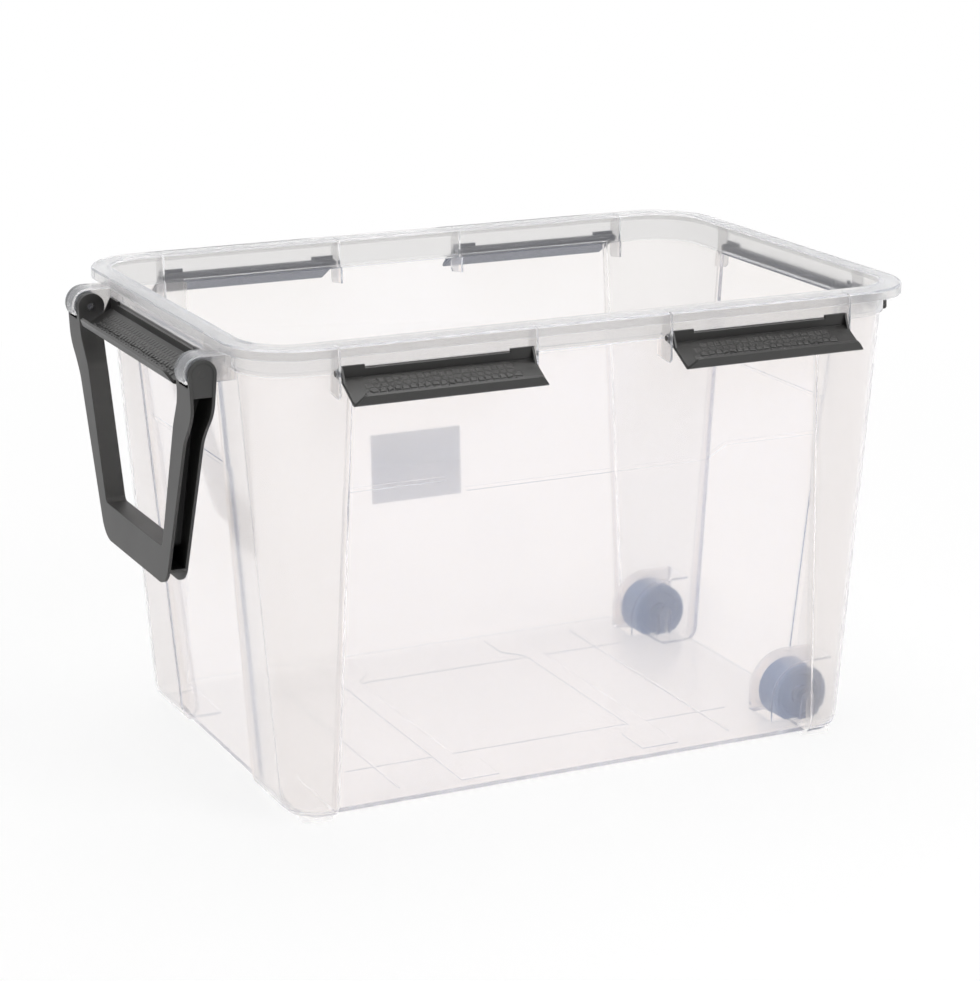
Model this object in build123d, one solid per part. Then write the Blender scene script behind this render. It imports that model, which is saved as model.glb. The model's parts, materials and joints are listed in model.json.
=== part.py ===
from build123d import *
import math
import os

# A clear moulded storage tub on two wheels, with six swing latches and a pull handle.
# The origin is on the ground under the centre of the tub. +Z is up, +X is the wheel end,
# -X is the handle end and -Y is the front. All sizes are in millimetres.

# Rim: the inner edge of the opening, the skirt round it and the hooked flange
RIM_HEIGHT = 417.5
RIM_HALF_LENGTH = 300.0
RIM_HALF_WIDTH = 198.8
RIM_CORNER = 42.0
RIM_WALL = 4.2
SKIRT_HEIGHT = 26.5
LEDGE_STEP = 2.4
FLANGE_SIDE = 18.3
FLANGE_END = 12.8
FLANGE_CORNER = 60.0
FLANGE_THICKNESS = 2.4
FLANGE_EDGE = 1.4
LIP_HEIGHT = 9.2
LIP_THICKNESS = 2.2

# Body below the skirt: tapered, with four rounded corner posts
WALL = 2.8
FLOOR_THICKNESS = 2.8
BASE_HALF_LENGTH = 271.0
BASE_HALF_WIDTH = 189.4
BASE_CORNER = 32.0
BASE_HEIGHT = 3.4
BASE_RELIEF = 2.6
BASE_ROUND = 13.0
BASE_ROUND_STEPS = 3

# Recessed wall panels between the corner posts, each with a step line
SIDE_PANEL_TOP = 217.5
SIDE_PANEL_BASE = 231.2
END_PANEL_TOP = 103.8
END_PANEL_BASE = 90.4
PANEL_DEPTH_TOP = 3.5
PANEL_DEPTH_BASE = 7.4
PANEL_STEP = 1.2
SIDE_STEP_DROP = 129.4
SIDE_STEP_DIP = 11.1
STEP_DIP_HALF = 114.0
STEP_DIP_RUN = 20.0
END_STEP_DROP = 124.5

# Feet under the posts and the raised pattern on the floor
FOOT_LENGTH = 28.0
FOOT_WIDTH = 18.0
FOOT_CORNER = 6.0
FOOT_X = 245.0
FOOT_Y = 171.0
BAND_HEIGHT = 0.8
BAND_OUTER = 107.0
BAND_INNER = 88.0
BAND_INNER_WIDE = 71.0
BAND_JOG_START = 107.0
BAND_JOG_END = 126.0
BAND_HALF_LENGTH = 165.0
LONG_LINE_Y = 103.0
LONG_LINE_HALF = 190.0
CROSS_LINE_X = 163.0
CROSS_LINE_HALF = 158.0
FLOOR_LINE_WIDTH = 1.6

# Latches: a hinged plate with an upturned hook along its outer edge
LATCH_DROP = 24.0
SIDE_LATCH_INSET = 9.6
END_LATCH_INSET = 7.8
SIDE_LATCH_HALF = 85.7
END_LATCH_HALF = 119.0
SIDE_LATCH_X = 150.2
LATCH_BARREL = 3.8
LATCH_HEEL = 2.7
LATCH_HEEL_DROP = 4.5
SIDE_LATCH_REACH = 33.2
END_LATCH_REACH = 29.2
LATCH_SLOPE = 29.4
LATCH_PLATE = 2.6
LATCH_HOOK = 12.4
LATCH_HOOK_THICKNESS = 2.4
LATCH_BEND = 4.0
LATCH_BEND_INSIDE = 2.5
LATCH_MITRE = 8.0
LATCH_END_ROUND = 7.0
LATCH_WALL_FACE = 4.8
LATCH_WALL = 2.6
LATCH_WALL_TOP = 3.4
LATCH_EAR_TOP = 6.6
LATCH_EAR = 21.0
LATCH_CHEEK = 2.0
LATCH_CHEEK_REACH = 10.0
LATCH_PIN_RADIUS = 2.5
LATCH_PIN_CLEARANCE = 0.1
LATCH_END_GAP = 0.6

# Bracket ribs under the flange that hold the latch pins
RIB_THICKNESS = 2.2
RIB_DEPTH = 44.0
RIB_HEEL = 3.0
RIB_LIP_GAP = 1.0

# Pull handle: two forked arms joined by a grip, hanging from two lugs
HANDLE_X = 331.0
HANDLE_DROP = 26.5
HANDLE_BOSS = 12.0
HANDLE_BACK = 10.0
HANDLE_FRONT = 8.0
HANDLE_BOSS_DROP = 48.5
HANDLE_SKIN = 2.6
HANDLE_TOP_OUTER = 160.0
HANDLE_TOP_INNER = 128.0
HANDLE_CHEEK_OUTER = 3.5
HANDLE_CHEEK_INNER = 7.5
HANDLE_SHOULDER_OUTER = 33.5
HANDLE_SHOULDER_INNER = 25.0
HANDLE_NECK_OUTER = 137.0
HANDLE_NECK_OUTER_DROP = 61.5
HANDLE_NECK_INNER = 113.0
HANDLE_NECK_INNER_DROP = 49.5
HANDLE_FOOT_OUTER = 81.5
HANDLE_FOOT_INNER = 74.8
HANDLE_LENGTH = 198.5
GRIP_HEIGHT = 33.5
SHOULDER_RADIUS = 30.0
NECK_RADIUS = 40.0
GRIP_CORNER = 25.0
GRIP_INNER_CORNER = 6.0
HANDLE_PLATE_DROP = 19.5
HANDLE_PLATE_RECESS = 0.8
HANDLE_WEB_DROP = 184.0
TRUNNION_RADIUS = 3.6
TRUNNION_CLEARANCE = 0.1
TRUNNION_LENGTH = 2.4
LUG_RADIUS = 15.5
LUG_CHIN = 8.0
LUG_WALL = 2.6
LUG_GAP = 0.5

# Wheels, axles and wells at the two lower corners of the wheel end
WHEEL_RADIUS = 27.5
WHEEL_WIDTH = 30.0
WHEEL_X = 244.5
WHEEL_Y = 135.0
WHEEL_LIFT = 0.5
WHEEL_DISH = 3.0
WHEEL_DISH_RADIUS = 21.0
WHEEL_DISH_SLOPE = 2.0
WHEEL_HUB_RADIUS = 9.0
WHEEL_EDGE = 1.6
WHEEL_BORE_CLEARANCE = 0.1
AXLE_RADIUS = 5.0
AXLE_CLEARANCE = 0.05
AXLE_CHAMFER = 0.8
AXLE_THROAT = 0.35
AXLE_POCKET = 5.0
AXLE_END_GAP = 0.3
AXLE_BOSS_WALL = 2.6
WELL_CLEARANCE = 5.0
WELL_SIDE_GAP = 2.5
WELL_WALL = 2.5

# Blank label on the outside of the back panel
LABEL_LENGTH = 94.5
LABEL_HEIGHT = 68.0
LABEL_THICKNESS = 0.4
LABEL_X = 8.8
LABEL_DROP = 225.5

# Places worked out from the driving sizes
SKIRT_HALF_LENGTH = RIM_HALF_LENGTH + RIM_WALL
SKIRT_HALF_WIDTH = RIM_HALF_WIDTH + RIM_WALL
SKIRT_CORNER = RIM_CORNER + RIM_WALL
POST_HALF_LENGTH = SKIRT_HALF_LENGTH - LEDGE_STEP
POST_HALF_WIDTH = SKIRT_HALF_WIDTH - LEDGE_STEP
POST_CORNER = SKIRT_CORNER - LEDGE_STEP
LEDGE_Z = RIM_HEIGHT - SKIRT_HEIGHT
PANEL_FOOT_Z = BASE_HEIGHT + BASE_RELIEF
FLOOR_Z = PANEL_FOOT_Z + FLOOR_THICKNESS
LATCH_Z = RIM_HEIGHT - LATCH_DROP
HANDLE_Z = RIM_HEIGHT - HANDLE_DROP
LUG_INNER = HANDLE_TOP_INNER + HANDLE_CHEEK_INNER + LUG_GAP
LUG_OUTER = HANDLE_TOP_OUTER - HANDLE_CHEEK_OUTER - LUG_GAP
WHEEL_Z = WHEEL_RADIUS + WHEEL_LIFT
WELL_RADIUS = WHEEL_RADIUS + WELL_CLEARANCE
WELL_HALF_WIDTH = WHEEL_WIDTH / 2 + WELL_SIDE_GAP
AXLE_HALF_LENGTH = WELL_HALF_WIDTH + AXLE_POCKET
REACH = 2 * SKIRT_HALF_LENGTH


def share_up(z, base, top):
    """A size at a height, on a straight taper from the base of the body to the ledge."""
    return base + (top - base) * (z - BASE_HEIGHT) / (LEDGE_Z - BASE_HEIGHT)


def rounded_prism(half_length, half_width, corner, low, high):
    """A vertical prism with a rounded rectangular outline."""
    outline = Plane.XY.offset(low) * RectangleRounded(2 * half_length, 2 * half_width, corner)
    return extrude(outline, high - low)


def rounded_outline(corners):
    """A closed outline from (x, y, corner radius) triples, where 0 keeps a corner sharp."""
    face = make_face(Polyline(*[(x, y) for x, y, _ in corners], close=True))
    for x, y, radius in corners:
        if radius:
            face = fillet(face.vertices().sort_by_distance((x, y, 0))[0], radius)
    return face


def across(outline, centre, half_width):
    """An outline in XZ as a solid of the given half width about a place along Y."""
    return extrude(Plane.XZ.offset(-centre) * outline, half_width, both=True)


def body_taper(inset, low, high):
    """The tapered body with rounded lower edges, drawn in by an inset all round."""
    radius = BASE_ROUND - inset
    round_z = BASE_HEIGHT + BASE_ROUND

    def section(z):
        depth = max(round_z - z, 0)
        drawn = inset + radius - math.sqrt(radius ** 2 - depth ** 2)
        half_length = share_up(z, BASE_HALF_LENGTH, POST_HALF_LENGTH) - drawn
        half_width = share_up(z, BASE_HALF_WIDTH, POST_HALF_WIDTH) - drawn
        corner = share_up(z, BASE_CORNER, POST_CORNER) - drawn
        return Plane.XY.offset(z) * RectangleRounded(2 * half_length, 2 * half_width, corner)

    start = math.asin((round_z - low) / radius)
    turns = [start * (1 - step / BASE_ROUND_STEPS) for step in range(BASE_ROUND_STEPS + 1)]
    levels = [round_z - radius * math.sin(turn) for turn in turns]
    return loft([section(z) for z in levels + [high]], ruled=True)


def panel_wedge(half_base, half_top, face_base, face_top, grow):
    """The space in front of one wall panel, facing -Y, grown towards the wall."""
    low = BASE_HEIGHT - grow
    high = LEDGE_Z + grow

    def section(z):
        half = share_up(z, half_base, half_top) + grow
        face = share_up(z, face_base, face_top) - grow
        return Plane.XY.offset(z) * Pos(0, -face - REACH / 2) * Rectangle(2 * half, REACH)

    return loft([section(low), section(high)], ruled=True)


def below_step(drop, dip, grow):
    """Everything below a panel's step line, which dips along its middle."""
    edge = RIM_HEIGHT - drop + grow
    run_end = STEP_DIP_HALF + STEP_DIP_RUN
    points = [(-REACH, -REACH), (-REACH, edge)]
    if dip:
        points += [(-run_end, edge), (-STEP_DIP_HALF, edge - dip)]
        points += [(STEP_DIP_HALF, edge - dip), (run_end, edge)]
    points += [(REACH, edge), (REACH, -REACH)]
    return across(make_face(Polyline(*points, close=True)), -REACH, REACH)


def panel_spaces(grow):
    """The spaces in front of all four panels, grown by the wall for the cavity."""
    spaces = []
    for half_base, half_top, base, top, drop, dip, turn in (
        (SIDE_PANEL_BASE, SIDE_PANEL_TOP, BASE_HALF_WIDTH, POST_HALF_WIDTH,
         SIDE_STEP_DROP, SIDE_STEP_DIP, 0),
        (END_PANEL_BASE, END_PANEL_TOP, BASE_HALF_LENGTH, POST_HALF_LENGTH,
         END_STEP_DROP, 0, 90),
    ):
        base -= PANEL_DEPTH_BASE
        top -= PANEL_DEPTH_TOP
        space = panel_wedge(half_base, half_top, base, top, grow)
        lower = panel_wedge(half_base, half_top, base - PANEL_STEP, top - PANEL_STEP, grow)
        space += lower & below_step(drop, dip, grow)
        spaces += [Rot(0, 0, turn) * space, Rot(0, 0, turn + 180) * space]
    return spaces


def floor_pattern():
    """Two raised bands across the floor, wider at their ends, and four raised lines."""
    points = [(BAND_OUTER, -BAND_HALF_LENGTH), (BAND_OUTER, BAND_HALF_LENGTH)]
    points += [(BAND_INNER_WIDE, BAND_HALF_LENGTH), (BAND_INNER_WIDE, BAND_JOG_END)]
    points += [(BAND_INNER, BAND_JOG_START), (BAND_INNER, -BAND_JOG_START)]
    points += [(BAND_INNER_WIDE, -BAND_JOG_END), (BAND_INNER_WIDE, -BAND_HALF_LENGTH)]
    band = make_face(Polyline(*points, close=True))
    pattern = band + Rot(0, 0, 180) * band
    for side in (-1, 1):
        pattern += Pos(0, side * LONG_LINE_Y) * Rectangle(2 * LONG_LINE_HALF, FLOOR_LINE_WIDTH)
        pattern += Pos(side * CROSS_LINE_X, 0) * Rectangle(FLOOR_LINE_WIDTH, 2 * CROSS_LINE_HALF)
    return extrude(Plane.XY.offset(FLOOR_Z) * pattern, BAND_HEIGHT)


def well_outline(grow):
    """The arch of a wheel well, seen along Y, open downwards and through the end wall."""
    radius = WELL_RADIUS + grow
    arch = Pos(WHEEL_X, WHEEL_Z) * Circle(radius)
    drop = Pos(WHEEL_X, WHEEL_Z - REACH / 2) * Rectangle(2 * radius, REACH)
    mouth = Pos(WHEEL_X + REACH / 2, WHEEL_Z + (radius - REACH) / 2)
    return arch + drop + mouth * Rectangle(REACH, radius + REACH)


def axle_seat(grow, throat):
    """The inverted U that an axle end snaps up into, seen along Y."""
    radius = AXLE_RADIUS + AXLE_CLEARANCE + grow
    leg = Pos(WHEEL_X, WHEEL_Z - REACH / 2) * Rectangle(2 * (radius - throat), REACH)
    return Pos(WHEEL_X, WHEEL_Z) * Circle(radius) + leg


def add_wheel_wells(tub):
    """Add the two arched wells with their axle seats and open them downwards."""
    inside = body_taper(WALL / 2, PANEL_FOOT_Z, LEDGE_Z)
    seat_half = AXLE_HALF_LENGTH + AXLE_END_GAP
    for side in (-1, 1):
        centre = side * WHEEL_Y
        shell = across(well_outline(WELL_WALL), centre, WELL_HALF_WIDTH + WELL_WALL)
        shell += across(axle_seat(AXLE_BOSS_WALL, 0), centre, seat_half + AXLE_BOSS_WALL)
        tub += shell & inside
        tub -= across(well_outline(0), centre, WELL_HALF_WIDTH)
        tub -= across(axle_seat(0, AXLE_THROAT), centre, seat_half)
    return tub


def latch_frame(inset):
    """The plane across a latch: x outwards from the hinge axis and y upwards."""
    return Plane(origin=(0, -inset, LATCH_Z), x_dir=(0, -1, 0), z_dir=(-1, 0, 0))


def latch_rib(inset, flange_reach):
    """A bracket rib across the rim, facing -Y with the skirt's face at Y = 0."""
    low = LATCH_DROP - RIB_DEPTH
    root = -inset - LEDGE_STEP - PANEL_DEPTH_TOP - WALL
    outer = flange_reach - inset - RIB_LIP_GAP
    under = LATCH_DROP - FLANGE_THICKNESS / 2
    points = [(root, low + RIB_HEEL), (outer - RIB_HEEL, low), (outer, low + RIB_HEEL)]
    points += [(outer, under), (root, under)]
    pin_bore = Circle(LATCH_PIN_RADIUS + LATCH_PIN_CLEARANCE)
    outline = make_face(Polyline(*points, close=True)) - pin_bore
    return extrude(latch_frame(inset) * outline, RIB_THICKNESS / 2, both=True)


def latch_places():
    """The six latches: name, half length, hinge inset, reach, flange and placing."""
    side = (SIDE_LATCH_HALF, SIDE_LATCH_INSET, SIDE_LATCH_REACH, FLANGE_SIDE)
    end = (END_LATCH_HALF, END_LATCH_INSET, END_LATCH_REACH, FLANGE_END)
    front = Pos(0, -SKIRT_HALF_WIDTH, 0)
    back = Rot(0, 0, 180) * front
    return [
        ("latch_front_left", *side, front * Pos(-SIDE_LATCH_X, 0, 0)),
        ("latch_front_right", *side, front * Pos(SIDE_LATCH_X, 0, 0)),
        ("latch_back_left", *side, back * Pos(SIDE_LATCH_X, 0, 0)),
        ("latch_back_right", *side, back * Pos(-SIDE_LATCH_X, 0, 0)),
        ("latch_wheel_end", *end, Rot(0, 0, 90) * Pos(0, -SKIRT_HALF_LENGTH, 0)),
        ("latch_handle_end", *end, Rot(0, 0, -90) * Pos(0, -SKIRT_HALF_LENGTH, 0)),
    ]


def build_latch(half, inset, reach):
    """One latch with its plate let down, facing -Y with the skirt's face at Y = 0."""
    frame = latch_frame(inset)
    heel = Vector(LATCH_HEEL, -LATCH_HEEL_DROP)
    along = Vector(1, 0).rotate(Axis.Z, -LATCH_SLOPE)
    normal = Vector(0, 1).rotate(Axis.Z, -LATCH_SLOPE)
    corner = heel + along * ((reach - LATCH_HEEL) / along.X)
    rise = normal * LATCH_PLATE
    tip = corner + normal * LATCH_HOOK
    hook_back = along * -LATCH_HOOK_THICKNESS
    plate_corners = [
        (heel, 0), (corner, LATCH_BEND), (tip, 0), (tip + hook_back, 0),
        (corner + rise + hook_back, LATCH_BEND_INSIDE), (heel + rise, 0),
    ]
    plate = rounded_outline([(point.X, point.Y, radius) for point, radius in plate_corners])
    knuckle = make_face(
        Polyline((0, -LATCH_BARREL), heel, heel + rise, (LATCH_WALL_FACE, 0), (0, 0), close=True)
    )

    def upright(top):
        centre = LATCH_WALL_FACE - LATCH_WALL / 2
        return Pos(centre, (top - LATCH_PLATE) / 2) * Rectangle(LATCH_WALL, top + LATCH_PLATE)

    def run(outline, centre, half_run):
        return Pos(centre, 0, 0) * extrude(frame * outline, half_run, both=True)

    def seen_along(outline, depth):
        origin = frame.from_local_coords(corner)
        plane = Plane(origin=origin, x_dir=(1, 0, 0), z_dir=(0, -along.X, along.Y))
        return extrude(plane * outline, -depth)

    outline = rounded_outline(mirrored([
        (half - LATCH_MITRE, LATCH_HOOK, LATCH_END_ROUND), (half, LATCH_PLATE, LATCH_END_ROUND),
        (half, -LATCH_PLATE, 0),
    ]))
    solid = run(plate, 0, half) & seen_along(outline, reach)
    solid += run(knuckle + Circle(LATCH_BARREL) + upright(LATCH_WALL_TOP), 0, half)
    foot = heel + along * LATCH_CHEEK_REACH + rise / 2
    cheek = make_face(
        Polyline((LATCH_WALL_FACE - LATCH_WALL, LATCH_EAR_TOP),
                 (LATCH_WALL_FACE, LATCH_EAR_TOP), foot, heel, close=True)
    )
    for side in (-1, 1):
        solid += run(upright(LATCH_EAR_TOP), side * (half - LATCH_EAR / 2), LATCH_EAR / 2)
        solid += run(cheek, side * (half - LATCH_CHEEK / 2), LATCH_CHEEK / 2)
        solid += run(Circle(LATCH_PIN_RADIUS), side * half, LATCH_END_GAP + RIB_THICKNESS)
    return solid


def build_lug(side):
    """One handle lug: a round-nosed hood on the end wall, open below, with trunnions."""
    centre = side * (LUG_OUTER + LUG_INNER) / 2
    half = (LUG_OUTER - LUG_INNER) / 2
    root = HANDLE_X - SKIRT_HALF_LENGTH + LEDGE_STEP

    def hood(inset, low):
        radius = LUG_RADIUS - inset
        height = radius - low
        nose = Circle(radius) & Pos(0, low + height / 2) * Rectangle(2 * radius, height)
        return nose + Pos(root / 2, low + height / 2) * Rectangle(root, height)

    place = Pos(-HANDLE_X, HANDLE_Z)
    lug = across(place * hood(0, -LUG_CHIN), centre, half)
    lug -= across(place * hood(LUG_WALL, -LUG_RADIUS), centre, half - LUG_WALL)
    lug += across(place * Circle(TRUNNION_RADIUS), centre, half + LUG_GAP + TRUNNION_LENGTH)
    return lug


def build_tub():
    """The whole clear moulding: walls, rim, ribs, lugs, feet, wells and floor pattern."""
    tub = body_taper(0, BASE_HEIGHT, LEDGE_Z)
    for space in panel_spaces(0):
        tub -= space
    tub -= Pos(0, 0, PANEL_FOOT_Z / 2) * Box(2 * SIDE_PANEL_BASE, REACH, PANEL_FOOT_Z)
    tub -= Pos(0, 0, PANEL_FOOT_Z / 2) * Box(REACH, 2 * END_PANEL_BASE, PANEL_FOOT_Z)
    for x in (-FOOT_X, FOOT_X):
        for y in (-FOOT_Y, FOOT_Y):
            foot = Pos(x, y) * RectangleRounded(FOOT_LENGTH, FOOT_WIDTH, FOOT_CORNER)
            tub += extrude(foot, PANEL_FOOT_Z)
    tub += rounded_prism(
        SKIRT_HALF_LENGTH, SKIRT_HALF_WIDTH, SKIRT_CORNER, LEDGE_Z, RIM_HEIGHT
    )
    flange_length = SKIRT_HALF_LENGTH + FLANGE_END
    flange_width = SKIRT_HALF_WIDTH + FLANGE_SIDE
    lip_low = RIM_HEIGHT - LIP_HEIGHT
    flange = rounded_prism(flange_length, flange_width, FLANGE_CORNER, lip_low, RIM_HEIGHT)
    flange = chamfer(flange.edges().group_by(Axis.Z)[-1], FLANGE_EDGE)
    flange -= rounded_prism(
        flange_length - LIP_THICKNESS, flange_width - LIP_THICKNESS,
        FLANGE_CORNER - LIP_THICKNESS, lip_low, RIM_HEIGHT - FLANGE_THICKNESS,
    )
    tub += flange
    for _, half, inset, _, flange_reach, place in latch_places():
        for side in (-1, 1):
            offset_x = side * (half + LATCH_END_GAP + RIB_THICKNESS / 2)
            tub += place * Pos(offset_x, 0, 0) * latch_rib(inset, flange_reach)
    for side in (-1, 1):
        tub += build_lug(side)
    shelf_z = LEDGE_Z + WALL
    cavity = body_taper(WALL, FLOOR_Z, shelf_z)
    for space in panel_spaces(WALL):
        cavity -= space
    tub -= cavity
    tub -= rounded_prism(RIM_HALF_LENGTH, RIM_HALF_WIDTH, RIM_CORNER, shelf_z, RIM_HEIGHT)
    return add_wheel_wells(tub + floor_pattern())


def mirrored(corners):
    """An outline's corners on the +Y side, followed by the same corners on the -Y side."""
    return corners + [(-y, z, radius) for y, z, radius in reversed(corners)]


def build_handle():
    """The pull handle: a channel section open outwards, with a fork at each top end."""
    outer = rounded_outline(mirrored([
        (HANDLE_TOP_OUTER, HANDLE_BOSS, 0),
        (HANDLE_TOP_OUTER, -HANDLE_SHOULDER_OUTER, SHOULDER_RADIUS),
        (HANDLE_NECK_OUTER, -HANDLE_NECK_OUTER_DROP, NECK_RADIUS),
        (HANDLE_FOOT_OUTER, -HANDLE_LENGTH, GRIP_CORNER),
    ]))
    inner = rounded_outline(mirrored([
        (HANDLE_TOP_INNER, 2 * HANDLE_BOSS, 0),
        (HANDLE_TOP_INNER, -HANDLE_SHOULDER_INNER, SHOULDER_RADIUS),
        (HANDLE_NECK_INNER, -HANDLE_NECK_INNER_DROP, NECK_RADIUS),
        (HANDLE_FOOT_INNER, -HANDLE_LENGTH + GRIP_HEIGHT, GRIP_INNER_CORNER),
    ]))
    arm = make_face(Polyline(
        (-HANDLE_BOSS, 0), (HANDLE_BOSS, 0), (HANDLE_FRONT, -HANDLE_BOSS_DROP),
        (HANDLE_FRONT, -REACH), (-HANDLE_BACK, -REACH), (-HANDLE_BACK, -HANDLE_BOSS_DROP),
        close=True,
    ))
    side_view = Circle(HANDLE_BOSS) + arm
    front = Plane(origin=(-HANDLE_X, 0, HANDLE_Z), x_dir=(0, 1, 0), z_dir=(1, 0, 0))
    place = Pos(-HANDLE_X, HANDLE_Z)
    inset_view = place * offset(side_view, -HANDLE_SKIN)
    width = 2 * HANDLE_TOP_OUTER
    handle = extrude(front * (outer - inner), 2 * HANDLE_BOSS, both=True)
    handle &= across(place * side_view, 0, width)
    top = Pos(0, REACH / 2 - HANDLE_PLATE_DROP) * Rectangle(2 * width, REACH)
    web = Pos(0, -HANDLE_WEB_DROP) * Rectangle(2 * width, HANDLE_SKIN)
    channel = offset(outer, HANDLE_SKIN) - offset(inner, HANDLE_SKIN) - top - web
    handle -= extrude(front * channel, 2 * HANDLE_BOSS, both=True) & across(inset_view, 0, width)
    slot_reach = LUG_RADIUS + LUG_GAP
    slot = Circle(slot_reach) + Pos(0, REACH / 2) * Rectangle(2 * slot_reach, REACH)
    recess_view = inset_view & place * Pos(0, REACH / 2 - HANDLE_PLATE_DROP) * Rectangle(REACH, REACH)
    bore = place * Circle(TRUNNION_RADIUS + TRUNNION_CLEARANCE)
    blind = LUG_OUTER + LUG_GAP + TRUNNION_LENGTH + TRUNNION_CLEARANCE
    for side in (-1, 1):
        centre = side * (LUG_OUTER + LUG_INNER) / 2
        handle -= across(place * slot, centre, (LUG_OUTER - LUG_INNER) / 2 + LUG_GAP)
        handle -= across(recess_view, side * HANDLE_TOP_OUTER, HANDLE_PLATE_RECESS)
        handle -= across(bore, side * (blind + HANDLE_NECK_INNER) / 2, (blind - HANDLE_NECK_INNER) / 2)
    return handle


def build_wheel():
    """One wheel: a plain tread with chamfered edges, dished faces, a hub and a bore."""
    half = WHEEL_WIDTH / 2
    bore = AXLE_RADIUS + WHEEL_BORE_CLEARANCE
    floor_y = half - WHEEL_DISH
    side = [
        (half, bore), (half, WHEEL_HUB_RADIUS), (floor_y, WHEEL_HUB_RADIUS),
        (floor_y, WHEEL_DISH_RADIUS - WHEEL_DISH_SLOPE), (half, WHEEL_DISH_RADIUS),
        (half, WHEEL_RADIUS - WHEEL_EDGE), (half - WHEEL_EDGE, WHEEL_RADIUS),
    ]
    profile = side + [(-y, radius) for y, radius in reversed(side)]
    section = Plane(origin=(0, 0, 0), x_dir=(0, 1, 0), z_dir=(-1, 0, 0))
    return revolve(section * make_face(Polyline(*profile, close=True)), Axis.Y)


def build_axle():
    """One wheel axle: a plain pin with chamfered ends, along Y."""
    pin = across(Circle(AXLE_RADIUS), 0, AXLE_HALF_LENGTH)
    return chamfer(pin.edges().filter_by(GeomType.CIRCLE), AXLE_CHAMFER)


def build_label():
    """The blank label, lying on the sloping outer face of the back panel."""

    def face_at(z):
        return share_up(
            z, BASE_HALF_WIDTH - PANEL_DEPTH_BASE, POST_HALF_WIDTH - PANEL_DEPTH_TOP
        ) - PANEL_STEP

    low = RIM_HEIGHT - LABEL_DROP - LABEL_HEIGHT / 2
    high = low + LABEL_HEIGHT
    points = [(face_at(low), low), (face_at(high), high)]
    points += [(y + LABEL_THICKNESS, z) for y, z in reversed(points)]
    side_view = Plane.YZ.offset(LABEL_X) * make_face(Polyline(*points, close=True))
    return extrude(side_view, LABEL_LENGTH / 2, both=True)


def save(solid, name):
    """Write one sub-part under its node's name."""
    export_step(solid, os.path.join("parts", name + ".step"))


def main():
    os.makedirs("parts", exist_ok=True)
    save(build_tub(), "tub")
    for name, half, inset, reach, _, place in latch_places():
        save(place * build_latch(half, inset, reach), name)
    save(build_handle(), "pull_handle")
    wheel = build_wheel()
    axle = build_axle()
    for name, side in (("front", -1), ("back", 1)):
        place = Pos(WHEEL_X, side * WHEEL_Y, WHEEL_Z)
        save(place * wheel, "wheel_" + name)
        save(place * axle, "wheel_axle_" + name)
    save(build_label(), "label")


main()
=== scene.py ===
import bpy
import json
import math
import random
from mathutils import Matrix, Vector


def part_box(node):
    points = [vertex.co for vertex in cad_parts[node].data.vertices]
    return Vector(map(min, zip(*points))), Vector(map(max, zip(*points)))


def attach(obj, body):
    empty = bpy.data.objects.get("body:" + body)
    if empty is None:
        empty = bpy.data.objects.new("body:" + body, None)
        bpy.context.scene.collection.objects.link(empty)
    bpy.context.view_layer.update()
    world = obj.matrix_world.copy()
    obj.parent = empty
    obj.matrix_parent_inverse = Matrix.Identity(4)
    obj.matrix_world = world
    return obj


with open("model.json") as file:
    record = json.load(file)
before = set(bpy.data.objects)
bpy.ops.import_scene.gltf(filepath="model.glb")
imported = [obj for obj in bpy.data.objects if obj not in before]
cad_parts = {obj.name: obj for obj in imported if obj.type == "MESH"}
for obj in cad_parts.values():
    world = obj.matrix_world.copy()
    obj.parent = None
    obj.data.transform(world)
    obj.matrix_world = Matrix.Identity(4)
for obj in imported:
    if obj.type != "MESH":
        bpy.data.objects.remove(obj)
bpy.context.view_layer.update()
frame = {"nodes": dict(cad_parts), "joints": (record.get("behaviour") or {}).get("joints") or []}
nodes = frame["nodes"]

LATCHES = [name for name in nodes if name.startswith("latch_")]
WHEELS = ("wheel_front", "wheel_back")
AXLES = ("wheel_axle_front", "wheel_axle_back")


# Camera, solved from the rim and the ribs of the photograph
CAMERA_PLACE = (-1.0727, -2.2484, 0.9151)
CAMERA_AZIMUTH = 25.489
CAMERA_ELEVATION = 15.709
CAMERA_LENS = 104.1
CAMERA_SENSOR = 36.0
CAMERA_CLIP = (0.05, 60.0)


def add_camera():
    """The camera at the photograph's viewing angle."""
    data = bpy.data.cameras.new("camera")
    data.lens = CAMERA_LENS
    data.sensor_width = CAMERA_SENSOR
    data.clip_start, data.clip_end = CAMERA_CLIP
    camera = bpy.data.objects.new("camera", data)
    camera.location = CAMERA_PLACE
    camera.rotation_euler = (
        math.radians(90.0 - CAMERA_ELEVATION), 0.0, math.radians(-CAMERA_AZIMUTH)
    )
    bpy.context.scene.collection.objects.link(camera)
    bpy.context.scene.camera = camera


def tree_tools(tree):
    """Empty a node tree and return two helpers: one adds a node, the other links two."""
    tree.nodes.clear()

    def add(kind, sockets=None, **settings):
        node = tree.nodes.new(kind)
        for key, value in settings.items():
            setattr(node, key, value)
        for key, value in (sockets or {}).items():
            node.inputs[key].default_value = value
        return node

    def link(source, output, target, socket):
        tree.links.new(source.outputs[output], target.inputs[socket])

    return add, link


def new_material(name):
    """A node material, with the helpers that fill its tree."""
    material = bpy.data.materials.new(name)
    material.use_nodes = True
    return (material, *tree_tools(material.node_tree))


def white_to_the_eye(add, link):
    """1 for camera, glossy and transmission rays, and 0 for the light on the object."""
    path = add("ShaderNodeLightPath")
    first = add("ShaderNodeMath", operation="MAXIMUM")
    second = add("ShaderNodeMath", operation="MAXIMUM")
    link(path, "Is Camera Ray", first, 0)
    link(path, "Is Glossy Ray", first, 1)
    link(first, 0, second, 0)
    link(path, "Is Transmission Ray", second, 1)
    return second


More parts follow.
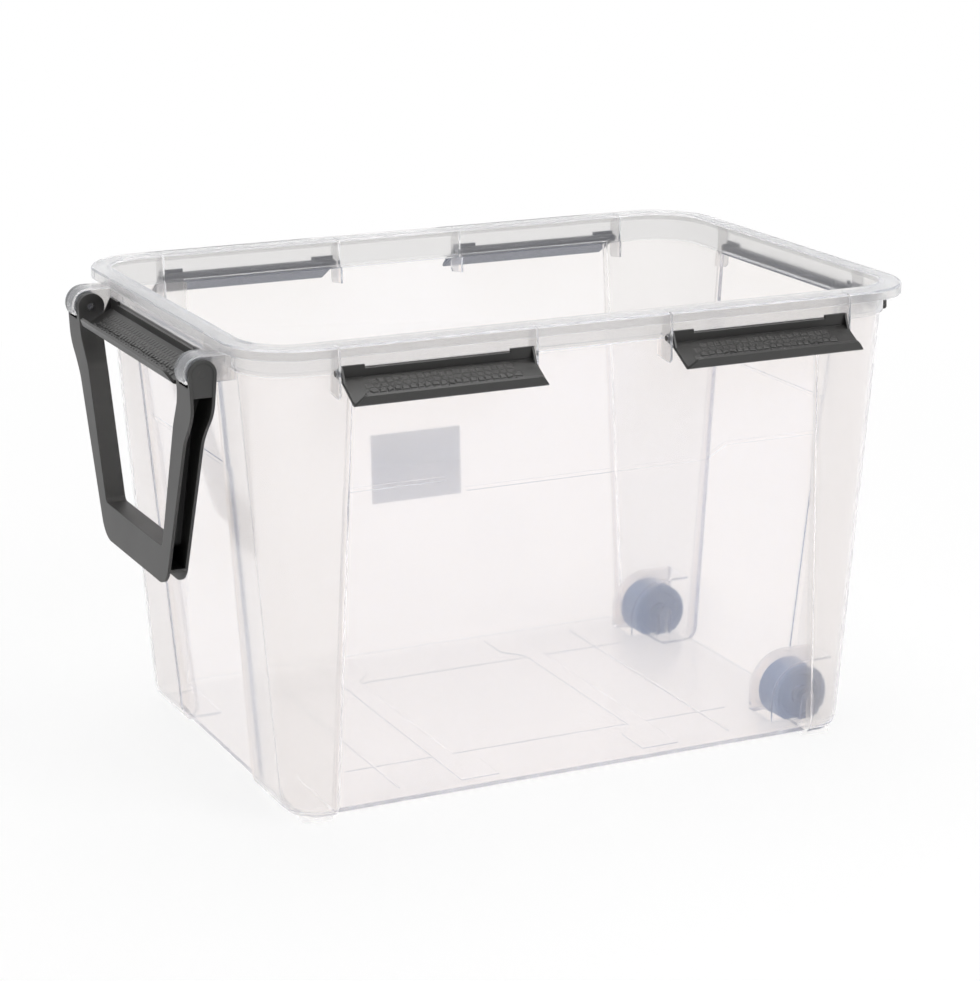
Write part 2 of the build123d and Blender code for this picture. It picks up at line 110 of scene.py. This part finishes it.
# Studio: a white world, a pale floor that keeps the shadow and three soft lamps
WORLD_LIGHT = 0.52
LAMPS = (
    ("key", (1.5, -2.5, 2.4), 2.2, 46.0),
    ("fill", (-2.6, -1.2, 1.8), 2.6, 10.0),
    ("top", (0.2, 0.8, 3.0), 2.6, 38.0),
)
LAMP_AIM = (0.0, 0.0, 0.2)
FLOOR_SIZE = 14.0
FLOOR_COLOUR = (0.93, 0.93, 0.93, 1.0)
# How far the floor's white to the eye goes, near the object and at the fade's end
FLOOR_SHARE = (0.80, 1.0)
FLOOR_FADE = (0.7, 1.7)


def add_studio():
    """The world, the lamps and the floor."""
    world = bpy.data.worlds.new("studio")
    bpy.context.scene.world = world
    world.use_nodes = True
    add, link = tree_tools(world.node_tree)
    seen = white_to_the_eye(add, link)
    strength = add("ShaderNodeMapRange", {"To Min": WORLD_LIGHT, "To Max": 1.0})
    background = add("ShaderNodeBackground", {"Color": (1.0, 1.0, 1.0, 1.0)})
    output = add("ShaderNodeOutputWorld")
    link(seen, 0, strength, "Value")
    link(strength, "Result", background, "Strength")
    link(background, "Background", output, "Surface")
    for name, place, size, power in LAMPS:
        data = bpy.data.lights.new(name, "AREA")
        data.shape = "DISK"
        data.size = size
        data.energy = power
        lamp = bpy.data.objects.new(name, data)
        lamp.location = place
        aim = Vector(LAMP_AIM) - Vector(place)
        lamp.rotation_euler = aim.to_track_quat("-Z", "Y").to_euler()
        bpy.context.scene.collection.objects.link(lamp)
    add_floor()


def add_floor():
    """A floor that is white to the eye and still takes the object's shadow."""
    material, add, link = new_material("floor")
    diffuse = add("ShaderNodeBsdfDiffuse", {"Color": FLOOR_COLOUR})
    emission = add("ShaderNodeEmission", {"Strength": 1.0})
    seen = white_to_the_eye(add, link)
    share = add("ShaderNodeMath", operation="MULTIPLY")
    place = add("ShaderNodeTexCoord")
    distance = add("ShaderNodeVectorMath", operation="LENGTH")
    fade = add("ShaderNodeMapRange", {
        "From Min": FLOOR_FADE[0], "From Max": FLOOR_FADE[1],
        "To Min": FLOOR_SHARE[0], "To Max": FLOOR_SHARE[1],
    })
    mix = add("ShaderNodeMixShader")
    output = add("ShaderNodeOutputMaterial")
    link(place, "Object", distance, 0)
    link(distance, "Value", fade, "Value")
    link(seen, 0, share, 0)
    link(fade, "Result", share, 1)
    link(share, 0, mix, "Fac")
    link(diffuse, "BSDF", mix, 1)
    link(emission, "Emission", mix, 2)
    link(mix, "Shader", output, "Surface")
    half = FLOOR_SIZE / 2
    mesh = bpy.data.meshes.new("floor")
    mesh.from_pydata(
        [(-half, -half, 0), (half, -half, 0), (half, half, 0), (-half, half, 0)], [], [(0, 1, 2, 3)]
    )
    mesh.materials.append(material)
    floor = bpy.data.objects.new("floor", mesh)
    bpy.context.scene.collection.objects.link(floor)


# Rays that find an edge's rounding, and the noise of the fine grain
EDGE_SAMPLES = 6
GRAIN_NOISE = {"Detail": 3.0, "Roughness": 0.6}


def grain_bump(add, link, target, scale, distance, strength=1.0, edge=None):
    """Fine moulding grain on a shader's normal, over edges rounded to a radius."""
    place = add("ShaderNodeTexCoord")
    noise = add("ShaderNodeTexNoise", {"Scale": scale, **GRAIN_NOISE})
    bump = add("ShaderNodeBump", {"Distance": distance, "Strength": strength})
    link(place, "Object", noise, "Vector")
    link(noise, "Fac", bump, "Height")
    if edge:
        rounded = add("ShaderNodeBevel", {"Radius": edge}, samples=EDGE_SAMPLES)
        link(rounded, "Normal", bump, "Normal")
    link(bump, "Normal", target, "Normal")
    return noise


# What one wall of the plastic lets through, what each of its faces scatters and how rough
# it is, on the clear panels, the milky corner posts and floor, and the rim, ribs and lugs
CLEAR = ((0.82, 0.782, 0.735, 1.0), (0.095, 0.108, 0.140, 1.0))
CLEAR_ROUGHNESS = (0.03, 0.09)
POSTS = ((0.705, 0.683, 0.660, 1.0), (0.148, 0.150, 0.162, 1.0), 0.16)
RIM = ((0.63, 0.617, 0.600, 1.0), (0.122, 0.127, 0.138, 1.0), 0.20)
CLEAR_FORWARD = 0.4
CLEAR_IOR = 1.24
CLEAR_GRAIN = 60.0
CLEAR_GRAIN_HEIGHT = 0.0001
CLEAR_GRAIN_SHARE = 0.15

# Where the frosted parts begin: the ledge, the floor, outside the walls, the panels' edges
LEDGE_HEIGHT = 0.3912
FLOOR_HEIGHT = 0.0098
OUTSIDE_END = 0.3050
OUTSIDE_SIDE = 0.2040
SIDE_PANEL_EDGE = 0.2313
SIDE_PANEL_LEAN = 0.0353
END_PANEL_EDGE = 0.0903
END_PANEL_LEAN = -0.0346


def frosted_zones(add, link):
    """1 on the tub's corner posts and floor, and 1 on its rim, ribs and lugs."""
    place = add("ShaderNodeTexCoord")
    axes = add("ShaderNodeSeparateXYZ")
    link(place, "Object", axes, "Vector")

    def math_node(operation, first, second, third=None):
        node = add("ShaderNodeMath", operation=operation)
        for socket, value in enumerate((first, second, third)):
            if isinstance(value, tuple):
                link(*value, node, socket)
            elif value is not None:
                node.inputs[socket].default_value = value
        return node, 0

    length = math_node("ABSOLUTE", (axes, "X"), None)
    width = math_node("ABSOLUTE", (axes, "Y"), None)
    height = (axes, "Z")
    past_side = math_node("MULTIPLY_ADD", height, SIDE_PANEL_LEAN, length)
    past_end = math_node("MULTIPLY_ADD", height, END_PANEL_LEAN, width)
    corner = math_node("MULTIPLY", math_node("GREATER_THAN", past_side, SIDE_PANEL_EDGE),
                       math_node("GREATER_THAN", past_end, END_PANEL_EDGE))
    posts = math_node("MAXIMUM", corner, math_node("LESS_THAN", height, FLOOR_HEIGHT))
    outside = math_node("MAXIMUM", math_node("GREATER_THAN", length, OUTSIDE_END),
                        math_node("GREATER_THAN", width, OUTSIDE_SIDE))
    rim = math_node("MAXIMUM", math_node("GREATER_THAN", height, LEDGE_HEIGHT), outside)
    return posts, rim


def clear_plastic():
    """Milky clear polypropylene: warm light passes, and each face scatters a little blue."""
    material, add, link = new_material("clear_plastic")
    shader = add("ShaderNodeBsdfPrincipled", {"IOR": CLEAR_IOR, "Transmission Weight": 1.0})
    zones = frosted_zones(add, link)

    def over_zones(kind, first, *values):
        """A value for the clear parts, then the posts' and the rim's over it."""
        mixes = [add("ShaderNodeMix", data_type=kind) for value in values]
        for zone, mix, value in zip(zones, mixes, values):
            link(*zone, mix, "Factor")
            mix.inputs["B"].default_value = value
        link(mixes[0], "Result", mixes[1], "A")
        if isinstance(first[0], float):
            mixes[0].inputs["A"].default_value = first
        else:
            link(*first, mixes[0], "A")
        return mixes[1], "Result"

    noise = grain_bump(add, link, shader, CLEAR_GRAIN, CLEAR_GRAIN_HEIGHT, CLEAR_GRAIN_SHARE)
    clear_rough = add("ShaderNodeMapRange", {
        "To Min": CLEAR_ROUGHNESS[0], "To Max": CLEAR_ROUGHNESS[1]
    })
    link(noise, "Fac", clear_rough, "Value")
    through, scattered = [over_zones("RGBA", *colours)
                          for colours in zip(CLEAR, POSTS[:2], RIM[:2])]
    rough = over_zones("FLOAT", (clear_rough, "Result"), POSTS[2], RIM[2])
    back = add("ShaderNodeBsdfDiffuse")
    forward = add("ShaderNodeBsdfTranslucent")
    scatter = add("ShaderNodeMixShader", {"Fac": CLEAR_FORWARD})
    both = add("ShaderNodeAddShader")
    output = add("ShaderNodeOutputMaterial")
    link(*through, shader, "Base Color")
    link(*rough, shader, "Roughness")
    link(*scattered, back, "Color")
    link(*scattered, forward, "Color")
    link(back, "BSDF", scatter, 1)
    link(forward, "BSDF", scatter, 2)
    link(shader, "BSDF", both, 0)
    link(scatter, "Shader", both, 1)
    link(both, "Shader", output, "Surface")
    return material


# Dyed plastic: the rays that find a hollow for the painted shade and the share of colour that
# painted shade leaves in its depth, the slow change of colour, and how far rubbed patches depart
# from a roughness
PAINTED_SHADE_SAMPLES = 6
PAINTED_SHADE_DEPTH_SHARE = 0.04
CLOUD_NOISE = {"Scale": 18.0, "Detail": 4.0, "Roughness": 0.55}
RUBBED = 0.07
PLASTIC_SPECULAR = 0.45


def moulded_plastic(name, dark, light, roughness, grain, distance, edge=None, painted_shade_reach=None,
                    through=0.0):
    """Dyed plastic or paper: slow colour change, fine grain and slightly rubbed patches.

    Edges are rounded to a radius, hollows narrower than a reach get painted shade (a darker
    colour from ambient occlusion), and a share of the light passes through."""
    material, add, link = new_material(name)
    shader = add("ShaderNodeBsdfPrincipled", {
        "Specular IOR Level": PLASTIC_SPECULAR, "Transmission Weight": through,
    })
    place = add("ShaderNodeTexCoord")
    cloud = add("ShaderNodeTexNoise", CLOUD_NOISE)
    tint = add("ShaderNodeMix", data_type="RGBA")
    tint.inputs["A"].default_value = (*dark, 1.0)
    tint.inputs["B"].default_value = (*light, 1.0)
    rough = add("ShaderNodeMapRange", {"To Min": roughness - RUBBED, "To Max": roughness + RUBBED})
    link(place, "Object", cloud, "Vector")
    link(cloud, "Fac", tint, "Factor")
    colour = (tint, "Result")
    # Painted shade: the colour is darkened by ambient occlusion in hollows and under nearby parts
    if painted_shade_reach:
        painted_shade_open = add("ShaderNodeAmbientOcclusion", {"Distance": painted_shade_reach}, samples=PAINTED_SHADE_SAMPLES)
        level = add("ShaderNodeMapRange", {"To Min": PAINTED_SHADE_DEPTH_SHARE})
        shade = add("ShaderNodeVectorMath", operation="MULTIPLY")
        link(painted_shade_open, "AO", level, "Value")
        link(*colour, shade, 0)
        link(level, "Result", shade, 1)
        colour = (shade, "Vector")
    link(*colour, shader, "Base Color")
    link(cloud, "Fac", rough, "Value")
    link(rough, "Result", shader, "Roughness")
    grain_bump(add, link, shader, grain, distance, edge=edge)
    output = add("ShaderNodeOutputMaterial")
    link(shader, "BSDF", output, "Surface")
    return material


def dress(names, material):
    """Give CAD nodes their material."""
    for name in names:
        mesh = nodes[name].data
        mesh.materials.clear()
        mesh.materials.append(material)


# Pebbled grip on each latch plate: out and up from the hinge to the start of the plate's
# upper face, then distances along its slope
PLATE_SLOPE = math.radians(29.4)
PLATE_START = (0.00398, -0.00224)
HOOK_DEPTH = 0.0138
PIN_REACH = 0.0028
PEBBLE_START = 0.0085
PEBBLE_MARGIN = 0.0165
PEBBLE_TAPER = 0.35
PEBBLE_PITCH = 0.0066
PEBBLE_ROW = 0.0052
PEBBLE_JITTER = 0.0011
PEBBLE_GAP = 0.0011
PEBBLE_HEIGHT = 0.0008
PEBBLE_LOW = 0.00035
PEBBLE_LIP_END = 0.0160
PEBBLE_SINK = 0.0002
PEBBLE_RINGS = ((1.0, 0.0), (0.9, 0.6), (0.66, 1.0))
PEBBLE_SEED = 11
# A cobble's outline before its neighbours cut it, and their reach, in pitches
PEBBLE_REACH = 0.62
PEBBLE_NEIGHBOURS = 2


def clipped(outline, centre, other):
    """The part of an outline that is nearer to its centre than to another, less the gap."""
    away = other - centre
    limit = away.length / 2 - PEBBLE_GAP / 2
    away.normalize()
    kept = []
    for here, after in zip(outline, outline[1:] + outline[:1]):
        depth = limit - (here - centre).dot(away)
        next_depth = limit - (after - centre).dot(away)
        if depth >= 0:
            kept.append(here)
        if depth * next_depth < 0:
            kept.append(here.lerp(after, depth / (depth - next_depth)))
    return kept


def pebble(points, faces, centre, centres, place):
    """Add one cobble to the mesh lists, bounded by its neighbours and low beside the lip."""
    top = PEBBLE_LOW if centre.y < PEBBLE_LIP_END else PEBBLE_HEIGHT
    reach = Vector((PEBBLE_PITCH, PEBBLE_ROW)) * PEBBLE_REACH
    outline = [centre + Vector((x * reach.x, y * reach.y))
               for x, y in ((-1, -1), (1, -1), (1, 1), (-1, 1))]
    for other in centres:
        if 0 < (other - centre).length < PEBBLE_NEIGHBOURS * PEBBLE_PITCH:
            outline = clipped(outline, centre, other)
    middle = sum(outline, Vector((0.0, 0.0))) / len(outline)
    first = len(points)
    count = len(outline)
    for scale, share in PEBBLE_RINGS:
        for corner in outline:
            spot = middle + (corner - middle) * scale
            points.append(place(spot.x, spot.y, share * (top + PEBBLE_SINK) - PEBBLE_SINK))
    for ring in range(len(PEBBLE_RINGS) - 1):
        low = first + ring * count
        high = low + count
        for corner in range(count):
            after = (corner + 1) % count
            faces.append((low + corner, low + after, high + after, high + corner))
    faces.append(tuple(range(first + 2 * count, first + 3 * count)))
    faces.append(tuple(reversed(range(first, first + count))))


def add_pebbles(joint, material, rng):
    """The pebbled grip of one latch, as one mesh that rides with it."""
    name = joint["child"]
    hinge = Vector(joint["pos_m"])
    along = Vector(joint["axis"])
    outward = Vector((0.0, 0.0, 1.0)).cross(along)
    slope = outward * math.cos(PLATE_SLOPE) - Vector((0.0, 0.0, math.sin(PLATE_SLOPE)))
    normal = outward * math.sin(PLATE_SLOPE) + Vector((0.0, 0.0, math.cos(PLATE_SLOPE)))
    start = hinge + outward * PLATE_START[0] + Vector((0.0, 0.0, PLATE_START[1]))
    low, high = [Vector(corner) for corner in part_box(name)]
    half = abs((high - low).dot(along)) / 2 - PIN_REACH - PEBBLE_MARGIN
    reach = max(abs((low - hinge).dot(outward)), abs((high - hinge).dot(outward)))
    end = (reach - HOOK_DEPTH) / math.cos(PLATE_SLOPE)

    def place(across, down, up):
        return start + along * across + slope * down + normal * up

    def jitter():
        return rng.uniform(-PEBBLE_JITTER, PEBBLE_JITTER)

    centres = []
    rows = int((end - PEBBLE_START) / PEBBLE_ROW)
    for row in range(rows + 1):
        down = PEBBLE_START + row * PEBBLE_ROW
        count = int(2 * (half - PEBBLE_TAPER * (end - down)) / PEBBLE_PITCH)
        for step in range(count + 1):
            across = (step - count / 2 + 0.5 * (row % 2)) * PEBBLE_PITCH
            centres.append(Vector((across + jitter(), down + jitter() / 2)))
    points = []
    faces = []
    for centre in centres:
        pebble(points, faces, centre, centres, place)
    mesh = bpy.data.meshes.new(name + "_pebbles")
    mesh.from_pydata(points, [], faces)
    mesh.materials.append(material)
    piece = bpy.data.objects.new(name + "_pebbles", mesh)
    bpy.context.scene.collection.objects.link(piece)
    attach(piece, name)


bpy.context.scene.view_settings.view_transform = "Standard"
add_camera()
add_studio()
dress(["tub"], clear_plastic())
# Painted shade darkens the latches in their hollows and under the tub's flange
latch_plastic = moulded_plastic(
    "latch_plastic", (0.019, 0.0185, 0.0175), (0.027, 0.026, 0.025), 0.33, 1400.0, 0.00005,
    edge=0.0006, painted_shade_reach=0.030
)
dress(LATCHES, latch_plastic)
# The pebbles are the latches' own plastic in a lighter colour, a painted highlight for the top
# lamp's sheen on the plate, with painted shade between them
sheen_painted_grip_plastic = moulded_plastic(
    "latch_grip_painted_sheen", (0.034, 0.033, 0.032), (0.048, 0.047, 0.045), 0.32, 1400.0, 0.00005,
    painted_shade_reach=0.006
)
# Painted shade darkens the handle's channel and hollows
dress(["pull_handle"], moulded_plastic(
    "handle_plastic", (0.040, 0.040, 0.039), (0.052, 0.051, 0.050), 0.44, 1400.0, 0.00005,
    edge=0.0012, painted_shade_reach=0.034
))
dress(WHEELS, moulded_plastic(
    "wheel_plastic", (0.110, 0.165, 0.300), (0.130, 0.190, 0.335), 0.5, 1100.0, 0.00006,
    edge=0.0010
))
dress(AXLES, moulded_plastic(
    "axle_plastic", (0.135, 0.180, 0.290), (0.155, 0.200, 0.315), 0.4, 1100.0, 0.00004
))
dress(["label"], moulded_plastic(
    "label_paper", (0.86, 0.87, 0.88), (0.89, 0.90, 0.91), 0.6, 700.0, 0.00003, through=0.75
))
pebble_rng = random.Random(PEBBLE_SEED)
for joint in frame["joints"]:
    if joint["child"] in LATCHES:
        add_pebbles(joint, sheen_painted_grip_plastic, pebble_rng)
